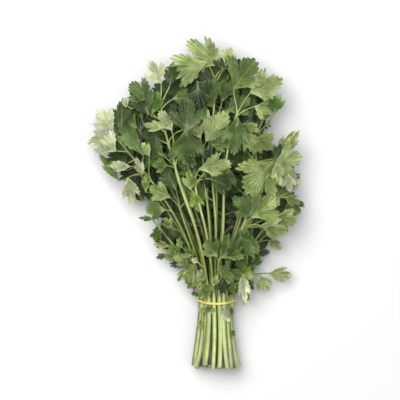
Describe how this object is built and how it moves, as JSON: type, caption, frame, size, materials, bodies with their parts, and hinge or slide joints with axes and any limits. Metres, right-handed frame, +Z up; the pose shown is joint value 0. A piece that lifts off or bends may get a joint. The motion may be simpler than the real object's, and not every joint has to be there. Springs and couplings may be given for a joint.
{
  "type": "parsley bunch",
  "caption": "Bunch of flat-leaf parsley lying down: leafy forked stems packed in rows and held near their cut ends by a rubber band.",
  "frame": {"origin": "middle of the underside of the bunch's box, on the surface it lies on", "axes": "+Y from the cut ends to the leaf tips, +Z up off the surface, +X across the bunch"},
  "size_m": [0.1848, 0.2854, 0.0659],
  "materials": {
    "light_green": "satin leaf",
    "mid_green": "satin leaf",
    "dark_green": "satin leaf",
    "rubber_band": "satin"
  },
  "bodies": {
    "root": {"leafy_stem_01": "light_green", "leafy_stem_02": "mid_green", "leafy_stem_03": "dark_green", "leafy_stem_04": "light_green", "leafy_stem_05": "mid_green", "leafy_stem_06": "dark_green", "leafy_stem_07": "light_green", "leafy_stem_08": "mid_green", "leafy_stem_09": "dark_green", "leafy_stem_10": "dark_green", "leafy_stem_11": "light_green", "leafy_stem_12": "mid_green", "leafy_stem_13": "dark_green", "leafy_stem_14": "light_green", "leafy_stem_15": "mid_green", "leafy_stem_16": "light_green", "leafy_stem_17": "mid_green", "leafy_stem_18": "dark_green", "leafy_stem_19": "light_green", "leafy_stem_20": "mid_green", "leafy_stem_21": "dark_green", "leafy_stem_22": "light_green", "leafy_stem_23": "mid_green", "leafy_stem_24": "dark_green", "leafy_stem_25": "light_green", "leafy_stem_26": "mid_green", "leafy_stem_27": "dark_green", "leafy_stem_28": "light_green", "leafy_stem_29": "dark_green", "leafy_stem_30": "light_green", "leafy_stem_31": "mid_green", "leafy_stem_32": "dark_green", "leafy_stem_33": "light_green", "leafy_stem_34": "light_green", "leafy_stem_35": "mid_green", "leafy_stem_36": "dark_green", "leafy_stem_37": "light_green", "rubber_band": "rubber_band"}
  },
  "joints": []
}
